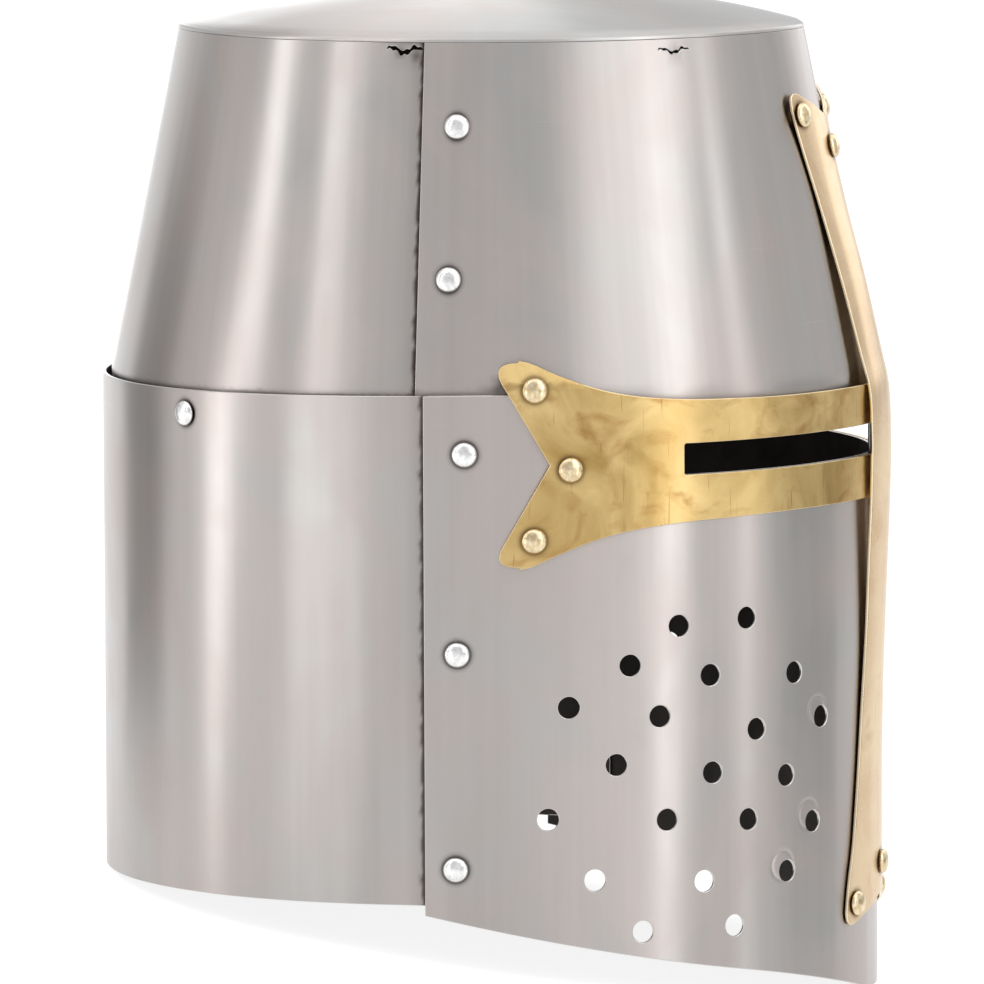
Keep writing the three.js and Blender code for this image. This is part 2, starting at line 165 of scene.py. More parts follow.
RIVETS = [
    {"name": "upper_seam_rivet_top", "on": "upper_seam", "arc": 178.4, "height": 86.0},
    {"name": "upper_seam_rivet_low", "on": "upper_seam", "arc": 180.8, "height": 37.0},
    {"name": "lower_seam_rivet_top", "on": "lower_seam", "arc": 174.9, "height": -18.9},
    {"name": "lower_seam_rivet_middle", "on": "lower_seam", "arc": 177.5, "height": -84.2},
    {"name": "lower_seam_rivet_low", "on": "lower_seam", "arc": 178.3, "height": -154.6},
    {"name": "back_rivet", "on": "back_seam", "arc": 277.9, "height": -9.0},
    {"name": "band_rivet_top", "on": "band_top", "arc": 152.2, "height": 2.0},
    {"name": "band_rivet_middle", "on": "band", "arc": 140.7, "height": -24.0},
    {"name": "band_rivet_low", "on": "band", "arc": 152.6, "height": -47.0},
    {"name": "bar_rivet_top", "on": "bar_top", "arc": 21.4, "height": 85.4},
    {"name": "bar_rivet_low", "on": "bar_low", "arc": 23.9, "height": -175.4},
    {"name": "bar_rivet_top_centre", "on": "bar_top", "arc": 0.0, "height": 73.8},
    {"name": "bar_rivet_low_centre", "on": "bar_low", "arc": 0.0, "height": -164.5},
]
# Thin ragged openings left under the rim where it was welded, on the side that the camera sees
CRACKS = [
    {"plate": "front", "from": 83.5, "to": 97.5, "height": 109.2, "half": 0.4, "wave": 0.7},
    {"plate": "back", "from": 192.4, "to": 206.5, "height": 110.4, "half": 0.75, "wave": 0.9},
]
# Dark spots by the openings under the rim and at the upper front plate's foot: where, how wide and how deep
DARK_SPOTS = [
    {"plate": "upper_front", "arc": 163.0, "height": 1.5, "size": 3.0, "depth": 0.75},
    {"plate": "upper_front", "arc": 168.0, "height": 0.8, "size": 2.0, "depth": 0.6},
    {"plate": "upper_back", "arc": 194.5, "height": 108.5, "size": 2.6, "depth": 0.7},
    {"plate": "upper_back", "arc": 201.0, "height": 109.6, "size": 2.2, "depth": 0.5},
    {"plate": "upper_front", "arc": 90.5, "height": 109.2, "size": 2.6, "depth": 0.3},
]
# Faint round hammer marks beside three of the holes, as grooves of this half width
HAMMER_GROOVE = 0.7
HAMMER_MARKS = [
    {"arc": 44.6, "height": -109.0, "radius": 4.6, "depth": 0.16},
    {"arc": 49.4, "height": -143.0, "radius": 4.8, "depth": 0.16},
    {"arc": 62.0, "height": -158.6, "radius": 4.8, "depth": 0.12},
]


def build_plan():
    """The rows' starts (arc, side, forward, angle, curvature), and the arc from ridge to middle of back."""
    starts = []
    arc, side, forward, angle = 0.0, 0.0, FRONT_REACH, 0.0
    for row in PLAN_ROWS:
        bend = 1 / row["radius"] if "radius" in row else 0.0
        starts.append((arc, side, forward, angle, bend))
        if bend:
            length = (math.radians(row["until"]) - angle) / bend
            turned = angle + length * bend
            side += (math.sin(turned) - math.sin(angle)) / bend
            forward += (math.cos(turned) - math.cos(angle)) / bend
            angle = turned
        else:
            length = row["straight"]
            side += length * math.cos(angle)
            forward -= length * math.sin(angle)
        arc += length
    bend = math.sin(angle) / side
    starts.append((arc, side, forward, angle, bend))
    return np.array(starts), arc + (math.pi - angle) / bend


STARTS, HALF = build_plan()


def plan_spot(distance):
    """Which hand, how far to the side and forward, and the outline's angle, at a distance round it."""
    distance = np.atleast_1d(np.asarray(distance, float))
    wrapped = np.where(distance > HALF, distance - 2 * HALF, distance)
    arc = np.abs(wrapped)
    start = STARTS[np.searchsorted(STARTS[:, 0], arc, side="right") - 1]
    length, angle, bend = arc - start[:, 0], start[:, 3], start[:, 4]
    turned = angle + length * bend
    safe = np.where(bend == 0, 1, bend)
    bent_side = (np.sin(turned) - np.sin(angle)) / safe
    bent_forward = (np.cos(turned) - np.cos(angle)) / safe
    side = start[:, 1] + np.where(bend == 0, length * np.cos(angle), bent_side)
    forward = start[:, 2] + np.where(bend == 0, -length * np.sin(angle), bent_forward)
    return np.where(wrapped < 0, 1.0, -1.0), side, forward, turned


def dent(x, y, height):
    """Gentle unevenness of the hammered sheet, shared by every layer so that they stay nested."""
    sway = 0.9 * np.sin(height / 70)
    drift = 0.3 + height / 55
    wide = DENT["wide"] * np.sin(0.075 * x + 0.05 * y + 1.3) * np.sin(0.085 * y - 0.04 * x + sway)
    close = DENT["close"] * np.sin(0.17 * x - 0.09 * y + drift) * np.sin(0.16 * y + 0.05 * x + 1.1)
    return wide + close


def place(distance, inward, height, even=False):
    """Points on the upright helm, with the dents unless the sheet is even."""
    hand, side, forward, angle = plan_spot(distance)
    height = np.broadcast_to(np.asarray(height, float), side.shape)
    if not even:
        inward = inward + dent(hand * side, -forward, height)
    x = hand * (side - inward * np.sin(angle))
    y = -(forward - inward * np.cos(angle))
    return np.stack([x, y, height], axis=1)


def ramp(value, low, high):
    return np.clip((value - low) / (high - low), 0, 1)


def forward_of(distance):
    return plan_spot(distance)[2]


def curve_through(rows, across, along):
    """A smooth curve through a table's rows."""
    at = np.array([row[across] for row in rows], float)
    value = np.array([row[along] for row in rows], float)
    slope = np.gradient(value, at)

    def read(position):
        position = np.asarray(position, float)
        i = np.clip(np.searchsorted(at, position) - 1, 0, len(at) - 2)
        span = at[i + 1] - at[i]
        t = (position - at[i]) / span
        rise = value[i] * (1 + 2 * t) * (1 - t) ** 2 + value[i + 1] * t * t * (3 - 2 * t)
        return rise + span * (slope[i] * t * (1 - t) ** 2 - slope[i + 1] * t * t * (1 - t))

    return read


band_edge = curve_through(BAND_EDGES, "arc", "half")
reach_of_bar = curve_through(BAR_ROWS, "height", "reach")
half_of_bar = curve_through(BAR_ROWS, "height", "half")
bend_of_bar = curve_through(BAR_ROWS, "height", "bend")


def inset_upper_front(distance, height):
    """One layer in at the ridge and two at its rear edges, where the lower back plate lies between."""
    return LAYER + LAYER * ramp(np.abs(distance), TUCK["from"], TUCK["to"]) + LEAN * np.maximum(height, 0)


def inset_band(distance, height):
    return -BAND_STAND_OFF + BAND["bend_in"] * np.maximum(np.asarray(height) - BAND["knee"], 0)


def inset_lower_front(distance, height):
    """Flush with the outline but for the shallow grooves of the hammer marks."""
    inset = 0 * np.asarray(height, float)
    for mark in HAMMER_MARKS:
        away = np.hypot(distance - mark["arc"], height - mark["height"]) - mark["radius"]
        inset = inset + mark["depth"] * np.exp(-((away / HAMMER_GROOVE) ** 2))
    return inset


INSETS = {
    "lower_front": inset_lower_front,
    "lower_back": lambda distance, height: LAYER,
    "upper_front": inset_upper_front,
    "upper_back": lambda distance, height: 3 * LAYER + LEAN * np.maximum(height, 0),
    "band": inset_band,
}


def skirt_edge(distance):
    arc = np.maximum(np.abs(np.atleast_1d(distance)), SKIRT["flat"])
    near_tip = np.maximum(1 - arc / SKIRT["tip_span"], 0)
    return SKIRT["start"] - SKIRT["slope"] * forward_of(arc) - SKIRT["tip_drop"] * near_tip**2


def front_top_edge(distance):
    hidden = np.abs(distance) <= HIDDEN_EDGE["until"]
    return np.where(hidden, HIDDEN_EDGE["height"], SEAM_SLOPE * forward_of(distance))


# The helm leans back onto the tip of its face and its back edge
front_foot = place(SKIRT["flat"], SHEET, skirt_edge(0), even=True)[0]
back_foot = place(HALF, LAYER, BACK_EDGE, even=True)[0]
LEAN_BACK = -math.atan2(back_foot[2] - front_foot[2], back_foot[1] - front_foot[1])
TURN = np.array(Matrix.Rotation(LEAN_BACK, 3, "X"))
back_top = TURN @ place(HALF, LAYER, SEAM_SLOPE * forward_of(HALF), even=True)[0]
SHIFT = np.array([0.0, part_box("lower_back_plate")[1][1] * 1000 - back_top[1], -(TURN @ back_foot)[2]])


def to_row(points):
    """Upright millimetres to the frame's metres."""
    return (points @ TURN.T + SHIFT) / 1000


def sheet_lift(inset):
    def lift(flat, depth):
        distance, height = flat[:, 0], flat[:, 1]
        return to_row(place(distance, inset(distance, height) + depth, height))

    return lift


def place_on_bar(distance, inward, height):
    points = place(distance, inward, height, even=True)
    bend = bend_of_bar(height) * (np.asarray(distance) / BEND_AT) ** 2
    points[:, 1] += FRONT_REACH - reach_of_bar(height) + bend
    return points


def bar_lift(flat, depth):
    return to_row(place_on_bar(flat[:, 0], depth, flat[:, 1]))


# Flat outlines
def densify(points, step):
    points = np.asarray(points, float)
    out = []
    for a, b in zip(points, np.roll(points, -1, axis=0)):
        pieces = max(int(math.ceil(np.linalg.norm(b - a) / step)), 1)
        out.extend(a + (b - a) * k / pieces for k in range(pieces))
    return np.array(out)


def outline_between(low, high, start, end, breaks=()):
    arcs = np.unique(np.concatenate([np.linspace(start, end, 121), list(breaks)]))
    bottom = np.stack([arcs, np.broadcast_to(low(arcs), arcs.shape)], axis=1)
    top = np.stack([arcs, np.broadcast_to(high(arcs), arcs.shape)], axis=1)
    return np.concatenate([bottom, top[::-1]])


def ellipse(arc, height, long, tall, count=28):
    turns = -np.arange(count) * 2 * math.pi / count
    return np.stack([arc + long * np.cos(turns), height + tall * np.sin(turns)], axis=1)


def slot_loop(hand):
    ends = sorted((hand * SLOT["from"], hand * SLOT["to"]))
    low, high = SLOT["middle"] - SLOT["half"], SLOT["middle"] + SLOT["half"]
    cut = 0.5
    corners = [
        (ends[0] + cut, low),
        (ends[0], low + cut),
        (ends[0], high - cut),
        (ends[0] + cut, high),
        (ends[1] - cut, high),
        (ends[1], high - cut),
        (ends[1], low + cut),
        (ends[1] - cut, low),
    ]
    return densify(corners, 2.5)


def crack_loop(row):
    share = np.linspace(0, 1, 26)
    arcs = row["from"] + share * (row["to"] - row["from"])
    middle = row["height"] + row["wave"] * np.sin(share * 9.0) + 0.35 * row["wave"] * np.sin(share * 27 + 1)
    half = row["half"] * np.sin(np.pi * (0.03 + 0.94 * share)) ** 0.5 * (1 + 0.3 * np.sin(share * 33))
    top = np.stack([arcs, middle + half], axis=1)
    bottom = np.stack([arcs, middle - half], axis=1)
    return np.concatenate([top, bottom[::-1]])


def fishtail(depth, half, rounding):
    """From one horn to the other, as steps past the end and across: the notch lies at the middle."""
    tip = (rounding * depth / (half - rounding), half)
    corner = np.array([(0, half - rounding), tip, (-SHOULDER * rounding, half)])
    t = np.linspace(0, 1, 13)[:, None]
    horn = (1 - t) ** 2 * corner[0] + 2 * t * (1 - t) * corner[1] + t**2 * corner[2]
    lower = horn[::-1] * (1, -1)
    return np.concatenate([lower, [[-depth, 0]], horn])


def band_outline():
    tail = fishtail(BAND["notch"], BAND["horn"] + 0.2, BAND["round"])
    reach = BAND["end"] - SHOULDER * BAND["round"] - HORN_MARGIN
    arcs = np.linspace(-reach, reach, 111)
    half = band_edge(np.abs(arcs))
    right = tail + (BAND["end"], BAND["middle"])
    left = tail * (-1, -1) + (-BAND["end"], BAND["middle"])
    bottom = np.stack([arcs, BAND["middle"] - half], axis=1)
    top = np.stack([arcs, BAND["middle"] + half], axis=1)[::-1]
    return np.concatenate([bottom, right, top, left])


def bar_outline():
    margin = SHOULDER * BAR["round"] + HORN_MARGIN
    heights = np.linspace(BAR["bottom"] + margin, BAR["top"] - margin, 95)
    right = np.stack([half_of_bar(heights), heights], axis=1)
    left = right[::-1] * (-1, 1)
    top = fishtail(BAR["top_notch"], BAR["top_horn"], BAR["round"])
    low = fishtail(BAR["low_notch"], BAR["low_horn"], BAR["round"])
    over = np.stack([-top[:, 1], BAR["top"] + top[:, 0]], axis=1)
    under = np.stack([low[:, 1], BAR["bottom"] - low[:, 0]], axis=1)
    return np.concatenate([right, over, left, under])


def inside(points, loop):
    x, y = points[:, 0, None], points[:, 1, None]
    ahead = np.roll(loop, -1, axis=0)
    rise = ahead[:, 1] - loop[:, 1]
    crosses = (loop[:, 1] > y) != (ahead[:, 1] > y)
    meets = loop[:, 0] + (y - loop[:, 1]) * (ahead[:, 0] - loop[:, 0]) / np.where(rise == 0, 1, rise)
    return (crosses & (x < meets)).sum(axis=1) % 2 == 1


def left_of(steps):
    return np.stack([-steps[:, 1], steps[:, 0]], axis=1) / np.linalg.norm(steps, axis=1)[:, None]


def offset_left(loop, distance):
    """The loop moved into the sheet by a distance, and each point's direction out of the sheet."""
    before = left_of(loop - np.roll(loop, 1, axis=0))
    after = left_of(np.roll(loop, -1, axis=0) - loop)
    middle = before + after
    middle /= np.maximum(np.linalg.norm(middle, axis=1), 1e-6)[:, None]
    reach = np.clip((middle * before).sum(axis=1), 0.6, 1)
    return loop + middle * (distance / reach)[:, None], -middle


def flat_mesh(loops, step, extra):
    """Triangles inside the first loop and outside the others, and where each loop's points went."""
    room = 0.3
    near = KDTree(sum(len(loop) for loop in loops))
    for i, point in enumerate(np.concatenate(loops)):
        near.insert((*point, 0), i)
    near.balance()
    low, high = loops[0].min(axis=0), loops[0].max(axis=0)
    xs = np.arange(low[0] + step / 2, high[0], step)
    ys = np.arange(low[1] + step / 2, high[1], step)
    grid = np.stack(np.meshgrid(xs, ys), axis=-1).reshape(-1, 2)
    grid = np.concatenate([grid, extra]) if len(extra) else grid
    keep = inside(grid, loops[0])
    for loop in loops[1:]:
        keep &= ~inside(grid, loop)
    grid = grid[keep]
    clear = [near.find((*point, 0))[2] > room for point in grid]
    grid = grid[np.array(clear, bool)]
    points = np.concatenate(loops + [grid])
    edges = []
    begin = 0
    for loop in loops:
        edges.extend((begin + k, begin + (k + 1) % len(loop)) for k in range(len(loop)))
        begin += len(loop)
    made = delaunay_2d_cdt([Vector(point) for point in points], edges, [], 0, 1e-7)
    spots = np.array([tuple(point) for point in made[0]])
    faces = np.array([face for face in made[2] if len(face) == 3])
    centres = spots[faces].mean(axis=1)
    keep = inside(centres, loops[0])
    for loop in loops[1:]:
        keep &= ~inside(centres, loop)
    where = np.zeros(len(points), int)
    for new, olds in enumerate(made[3]):
        where[olds] = new
    return spots, faces[keep], where


def unit(vectors):
    return vectors / np.maximum(np.linalg.norm(vectors, axis=1), 1e-12)[:, None]


def sheet_piece(name, outline, holes, lift, skin, lining, step=4.0, bevel=0.3, extra=(), shade=None):
    """A bent sheet with rounded edges, cut from a flat outline with holes and laid on the helm by lift."""
    loops = [outline] + list(holes)
    faces_at, aways = zip(*(offset_left(loop, bevel) for loop in loops))
    spots, triangles, where = flat_mesh(list(faces_at), step, np.array(extra).reshape(-1, 2))
    count = len(spots)
    eps = 0.2
    roll = 0.45
    across = unit(lift(spots + (eps, 0), 0) - lift(spots - (eps, 0), 0))
    upward = unit(lift(spots + (0, eps), 0) - lift(spots - (0, eps), 0))
    outward = -unit(np.cross(across, upward))
    places = [lift(spots, 0), lift(spots, SHEET)]
    normals = [outward, -outward]
    flats = [spots, spots]
    polygons = [tuple(t[::-1]) for t in triangles.tolist()]
    kinds = [0] * len(polygons)
    polygons += [tuple(i + count for i in t) for t in triangles.tolist()]
    kinds += [1] * len(triangles)
    begin, total = 0, 2 * count
    for loop, away in zip(loops, aways):
        size = len(loop)
        along = unit(lift(loop + (eps, 0), 0) - lift(loop - (eps, 0), 0))
        rise = unit(lift(loop + (0, eps), 0) - lift(loop - (0, eps), 0))
        sideways = unit(along * away[:, :1] + rise * away[:, 1:])
        out = -unit(np.cross(along, rise))
        places += [lift(loop, bevel), lift(loop, SHEET - bevel)]
        normals += [unit(sideways + roll * out), unit(sideways - roll * out)]
        flats += [loop, loop]
        for k in range(size):
            n = (k + 1) % size
            a, b = where[begin + k], where[begin + n]
            first, second = total + k, total + n
            polygons += [(a, b, second, first), (first, second, second + size, first + size)]
            polygons += [(first + size, second + size, b + count, a + count)]
            kinds += [0, 0, 0]
        begin += size
        total += 2 * size
    flat = np.concatenate(flats)
    edge = np.concatenate([np.zeros(2 * count), np.ones(total - 2 * count)])
    dark = shade(flat) if shade else np.zeros(len(flat))
    return build_object(name, np.concatenate(places), polygons, kinds, np.concatenate(normals), flat / 1000,
                        {"edge": edge, "dark": dark}, [skin, lining])


def build_object(name, places, polygons, kinds, normals, uv, values, materials):
    mesh = bpy.data.meshes.new(name)
    mesh.from_pydata(places.tolist(), [], polygons)
    for material in materials:
        mesh.materials.append(material)
    mesh.polygons.foreach_set("material_index", kinds)
    mesh.polygons.foreach_set("use_smooth", [True] * len(mesh.polygons))
    corners = np.zeros(len(mesh.loops), int)
    mesh.loops.foreach_get("vertex_index", corners)
    layer = mesh.uv_layers.new(name="UVMap")
    layer.data.foreach_set("uv", uv[corners].ravel())
    for label, value in values.items():
        mesh.attributes.new(label, "FLOAT", "POINT").data.foreach_set("value", value)
    if normals is not None:
        mesh.normals_split_custom_set_from_vertices(normals.tolist())
    mesh.validate()
    piece = bpy.data.objects.new(name, mesh)
    bpy.context.collection.objects.link(piece)
    return piece


def settle(piece, node):
    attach(piece, "root")
    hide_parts(node)


# Materials, with colours in linear light
EDGE_WEAR = 0.6
COOL_TINT = (0.965, 0.99, 0.985)
WARM_TINT = (1.035, 0.985, 0.97)
SCRATCHED_STEEL = (0.75, 0.73, 0.71)
WORN_STEEL = (0.84, 0.82, 0.80)
# Painted shade along seams, at the upper plates' feet and round rivet heads, which also draws the seams'
# stain and the dark spots
SHADE_AND_STAIN_STEEL = (0.030, 0.020, 0.016)
WORN_BRASS = (0.95, 0.84, 0.62)
# Painted shade round the rivet heads on the brass
PAINTED_SHADE_BRASS = (0.10, 0.055, 0.02)
SOOT = (0.018, 0.015, 0.013)
PALE_SOOT = (0.045, 0.038, 0.033)


class Nodes:
    def __init__(self, name):
        self.material = bpy.data.materials.new(name)
        self.material.use_nodes = True
        self.tree = self.material.node_tree
        self.shader = self.tree.nodes["Principled BSDF"]
        self.uv = self.add("ShaderNodeUVMap", uv_map="UVMap")[0]

    def add(self, kind, *links, **settings):
        node = self.tree.nodes.new(kind)
        for key, value in settings.items():
            setattr(node, key, value)
        for socket, source in links:
            if hasattr(source, "is_output"):
                self.tree.links.new(source, node.inputs[socket])
            else:
                node.inputs[socket].default_value = source
        return node.outputs

    def noise(self, scale, detail=3.0, rough=0.55, turn=0.0, distortion=0.0):
        """Noise over the flat sheet: scale is (across, up) in waves to the metre."""
        laying = (("Vector", self.uv), ("Rotation", (0, 0, turn)), ("Scale", (*scale, 1)))
        laid = self.add("ShaderNodeMapping", *laying)
        return self.add("ShaderNodeTexNoise", ("Vector", laid[0]), ("Scale", 1.0), ("Detail", detail),
                        ("Roughness", rough), ("Distortion", distortion))[0]

    def span(self, source, low, high, to_low=0.0, to_high=1.0):
        return self.add("ShaderNodeMapRange", ("Value", source), ("From Min", low), ("From Max", high),
                        ("To Min", to_low), ("To Max", to_high))[0]

    def mix(self, factor, first, second, blend="MIX"):
        """A mix node's sockets for colours are 6 and 7."""
        node = self.tree.nodes.new("ShaderNodeMix")
        node.data_type = "RGBA"
        node.blend_type = blend
        for index, source in ((0, factor), (6, first), (7, second)):
            if hasattr(source, "is_output"):
                self.tree.links.new(source, node.inputs[index])
            else:
                node.inputs[index].default_value = (*source, 1) if index else source
        return node.outputs[2]

    def math(self, operation, first, second):
        return self.add("ShaderNodeMath", (0, first), (1, second), operation=operation)[0]

    def value(self, label):
        return self.add("ShaderNodeAttribute", attribute_name=label)[2]

    def set(self, **values):
        for key, value in values.items():
            socket = self.shader.inputs[key.replace("_", " ")]
            if hasattr(value, "is_output"):
                self.tree.links.new(value, socket)
            else:
                socket.default_value = value

    def bump(self, height, distance, strength):
        sockets = (("Height", height), ("Distance", distance), ("Strength", strength))
        self.set(Normal=self.add("ShaderNodeBump", *sockets)[0])


def steel_material(name, dark, light, roughness=0.31):
    nodes = Nodes(name)
    fine = nodes.noise((260, 7), detail=3)
    wide = nodes.noise((22, 3), detail=3, distortion=0.3)
    mottle = nodes.noise((20, 16), detail=5, rough=0.6, distortion=0.8)
    scratch = nodes.noise((9, 520), detail=2, turn=0.5)
    tone = nodes.math("ADD", nodes.math("MULTIPLY", fine, 0.2), nodes.math("MULTIPLY", wide, 0.8))
    colour = nodes.mix(nodes.span(tone, 0.32, 0.68), dark, light)
    tint = nodes.mix(nodes.span(mottle, 0.38, 0.62), COOL_TINT, WARM_TINT)
    colour = nodes.mix(1.0, colour, tint, blend="MULTIPLY")
    colour = nodes.mix(nodes.span(scratch, 0.72, 0.76, 0.0, 0.12), colour, SCRATCHED_STEEL)
    colour = nodes.mix(nodes.math("MULTIPLY", nodes.value("edge"), EDGE_WEAR), colour, WORN_STEEL)
    # The dark value paints shade along seams, at the upper plates' feet and round rivet heads, with the
    # seams' stain and the dark spots
    colour = nodes.mix(nodes.value("dark"), colour, SHADE_AND_STAIN_STEEL)
    rough = nodes.span(mottle, 0.35, 0.65, roughness - 0.03, roughness + 0.05)
    nodes.set(Base_Color=colour, Metallic=1.0, Roughness=rough, Anisotropic=0.85, Anisotropic_Rotation=0.25)
    nodes.bump(nodes.math("ADD", nodes.math("MULTIPLY", fine, 0.3), wide), 0.00002, 0.3)
    return nodes.material


def brass_material(name, deep, light, stain, roughness=0.27, stained=0.5):
    nodes = Nodes(name)
    cloud = nodes.noise((34, 26), detail=4, rough=0.55, distortion=1.2)
    blotch = nodes.noise((48, 60), detail=4, distortion=1.5)
    marks = nodes.noise((520, 30), detail=2, turn=0.7, distortion=0.6)
    marks_back = nodes.noise((470, 28), detail=2, turn=-0.5, distortion=0.6)
    colour = nodes.mix(nodes.span(cloud, 0.34, 0.66), deep, light)
    colour = nodes.mix(nodes.span(blotch, 0.54, 0.74, 0.0, stained), colour, stain)
    lines = nodes.math("MAXIMUM", nodes.span(marks, 0.69, 0.73), nodes.span(marks_back, 0.70, 0.74))
    colour = nodes.mix(nodes.math("MULTIPLY", lines, 0.85 * stained), colour, stain)
    colour = nodes.mix(nodes.math("MULTIPLY", nodes.value("edge"), EDGE_WEAR), colour, WORN_BRASS)
    # The dark value paints shade round the rivet heads
    colour = nodes.mix(nodes.value("dark"), colour, PAINTED_SHADE_BRASS)
    rough = nodes.span(cloud, 0.35, 0.65, roughness - 0.03, roughness + 0.05)
    nodes.set(Base_Color=colour, Metallic=1.0, Roughness=rough)
    nodes.bump(cloud, 0.0001, 0.4)
    return nodes.material


def lining_material():
    nodes = Nodes("blackened_steel")
    soot = nodes.noise((60, 45), detail=5)
    colour = nodes.mix(nodes.span(soot, 0.35, 0.65), SOOT, PALE_SOOT)
    nodes.set(Base_Color=colour, Metallic=0.6, Roughness=0.6)
    return nodes.material


def rivet_material(name, colour, pale):
    nodes = Nodes(name)
    soft = nodes.noise((700, 500), detail=3)
    shade = nodes.mix(nodes.span(soft, 0.35, 0.65), colour, pale)
    nodes.set(Base_Color=shade, Metallic=1.0, Roughness=0.24)
    nodes.bump(soft, 0.00005, 0.4)
    return nodes.material


steel = steel_material("brushed_steel", (0.384, 0.361, 0.349), (0.471, 0.445, 0.432))
top_steel = steel_material("top_steel", (0.43, 0.416, 0.406), (0.505, 0.491, 0.482), roughness=0.36)
brass = brass_material("sheet_brass", (0.42, 0.275, 0.092), (0.65, 0.475, 0.212), (0.31, 0.14, 0.032),
                       stained=0.6)
bar_brass = brass_material("bar_brass", (0.62, 0.45, 0.275), (0.74, 0.58, 0.375), (0.52, 0.31, 0.15),
                           stained=0.4)
lining = lining_material()
steel_rivet = rivet_material("rivet_steel", (0.66, 0.66, 0.66), (0.88, 0.88, 0.87))
brass_rivet = rivet_material("rivet_brass", (0.58, 0.45, 0.26), (0.78, 0.66, 0.46))


# Rivets
def arc_behind(side, inward):
    """How far round a sheet that lies this far inward is this far to the side, by halving the range."""
    low, high = 0.0, HALF / 2
    for _ in range(30):
        middle = (low + high) / 2
        _, at, _, angle = plan_spot(middle)
        low, high = (middle, high) if at[0] - inward * math.sin(angle[0]) < side else (low, middle)
    return low


def seat_of(row):
    """The inset of what the head sits on, the depth that the rivet passes, and whether it leans inwards."""
    arc, height, kind = row["arc"], row["height"], row["on"]
    if kind == "upper_seam":
        return float(inset_upper_front(arc, height)), 2 * SHEET + GAP, True
    if kind == "lower_seam":
        return 0.0, 2 * SHEET + GAP, False
    if kind == "back_seam":
        return LAYER, 2 * LAYER + SHEET, False
    if kind == "band":
        return -BAND_STAND_OFF, SHEET + BAND_STAND_OFF, False
    if kind == "band_top":
        outer = float(inset_band(arc, height))
        return outer, float(inset_upper_front(arc, height + RIVET["clench"])) + SHEET - outer, False
    plate = float(inset_upper_front(arc, height)) if kind == "bar_top" else 0.0
    face = place_on_bar(arc, 0, height)[0]
    behind = place(arc_behind(abs(face[0]), plate), plate, height, even=True)[0]
    depth = (behind[1] - face[1]) * math.cos(float(plan_spot(arc)[3][0]))
    return 0.0, depth + SHEET, kind == "bar_top"


def rivet_profile(stack):
    """The radius and height of each ring round the rivet, and the heights of its two ends."""
    base, thick = RIVET["clearance"], RIVET["clench_thick"]
    foot = -stack - base - thick
    edge, dome = base + HEAD_EDGE, RIVET["rise"] - HEAD_EDGE
    bulge = np.linspace(0, math.pi / 2, 12)
    head = [(RIVET["head"] * math.sin(t), edge + dome * math.cos(t)) for t in bulge]
    clench = [(RIVET["clench"] * math.sin(t), foot + thick * (1 - math.cos(t))) for t in bulge]
    under = [(RIVET["head"] - 0.1, base + 0.05), (RIVET["head"] - 0.4, base), (RIVET["shank"] + 0.1, base)]
    shank = [(RIVET["shank"], base - 0.2), (RIVET["shank"], foot + thick + 0.1)]
    return np.array(head[1:] + under + shank + clench[:0:-1]), head[0][1], foot


def rivet_piece(name, row, hand):
    outer, stack, leaned = seat_of(row)
    distance = -hand * row["arc"]
    on_bar = row["on"].startswith("bar")
    spot = place_on_bar(distance, 0, row["height"])[0] if on_bar else place(distance, outer, row["height"])[0]
    outward = place(distance, -1, 0, even=True)[0] - place(distance, 0, 0, even=True)[0]
    outward = outward + (0, 0, LEAN if leaned else 0)
    outward /= np.linalg.norm(outward)
    u = np.cross(outward, (0, 0, 1))
    u /= np.linalg.norm(u)
    v = np.cross(outward, u)
    turns = np.arange(RIVET_SIDES) * 2 * math.pi / RIVET_SIDES
    ring = np.cos(turns)[:, None] * u + np.sin(turns)[:, None] * v
    profile, crown, foot = rivet_profile(stack)
    places = [spot + outward * crown]
    for radius, height in profile:
        places.extend(spot + outward * height + ring * radius)
    places.append(spot + outward * foot)
    last = len(places) - 1
    sides = [(k, (k + 1) % RIVET_SIDES) for k in range(RIVET_SIDES)]
    polygons = [(0, 1 + k, 1 + n) for k, n in sides]
    for j in range(len(profile) - 1):
        a = 1 + RIVET_SIDES * j
        b = a + RIVET_SIDES
        polygons += [(a + k, b + k, b + n, a + n) for k, n in sides]
    polygons += [(last, last - RIVET_SIDES + n, last - RIVET_SIDES + k) for k, n in sides]
    places = np.array(places)
    # Metres across the head, moved along by how far round the rivet is, for a change of marks
    flat = np.stack([(places - spot) @ u, (places - spot) @ v], axis=1) / 1000 + row["arc"] / 300
    on_brass = row["on"].startswith(("band", "bar"))
    piece = build_object(name, to_row(places), polygons, [0] * len(polygons), None, flat, {},
                         [brass_rivet if on_brass else steel_rivet])
    settle(piece, name)


def hands_of(row):
    if row["arc"] == 0:
        return [(row["name"], -1)]
    return [(row["name"] + "_right", -1), (row["name"] + "_left", 1)]


for row in RIVETS:
    for name, hand in hands_of(row):
        rivet_piece(name, row, hand)


def rivet_spots(kinds, inset):
    """Where the pins of these rivets cross a plate that lies at this inset."""
    spots = []
    for row in RIVETS:
        if row["on"] not in kinds:
            continue
        outer, _, leaned = seat_of(row)
        for _, hand in hands_of(row):
            arc, height = row["arc"], row["height"]
            if row["on"].startswith("bar"):
                if inset is not None:
                    side = abs(place(arc, 0, height, even=True)[0][0])
                    deep = float(inset(arc, height))
                    arc = arc_behind(side, deep) if arc else 0.0
                    height -= LEAN * BAR["stand_off"] if leaned else 0
            elif leaned and inset is not None:
                height -= LEAN * (float(inset(arc, height)) - outer)
            spots.append((-hand * arc, height))
    return spots


def pin_holes(spots):
    radius = RIVET["shank"] + RIVET["clearance"]
    return [ellipse(arc, height, radius, radius, 16) for arc, height in spots]


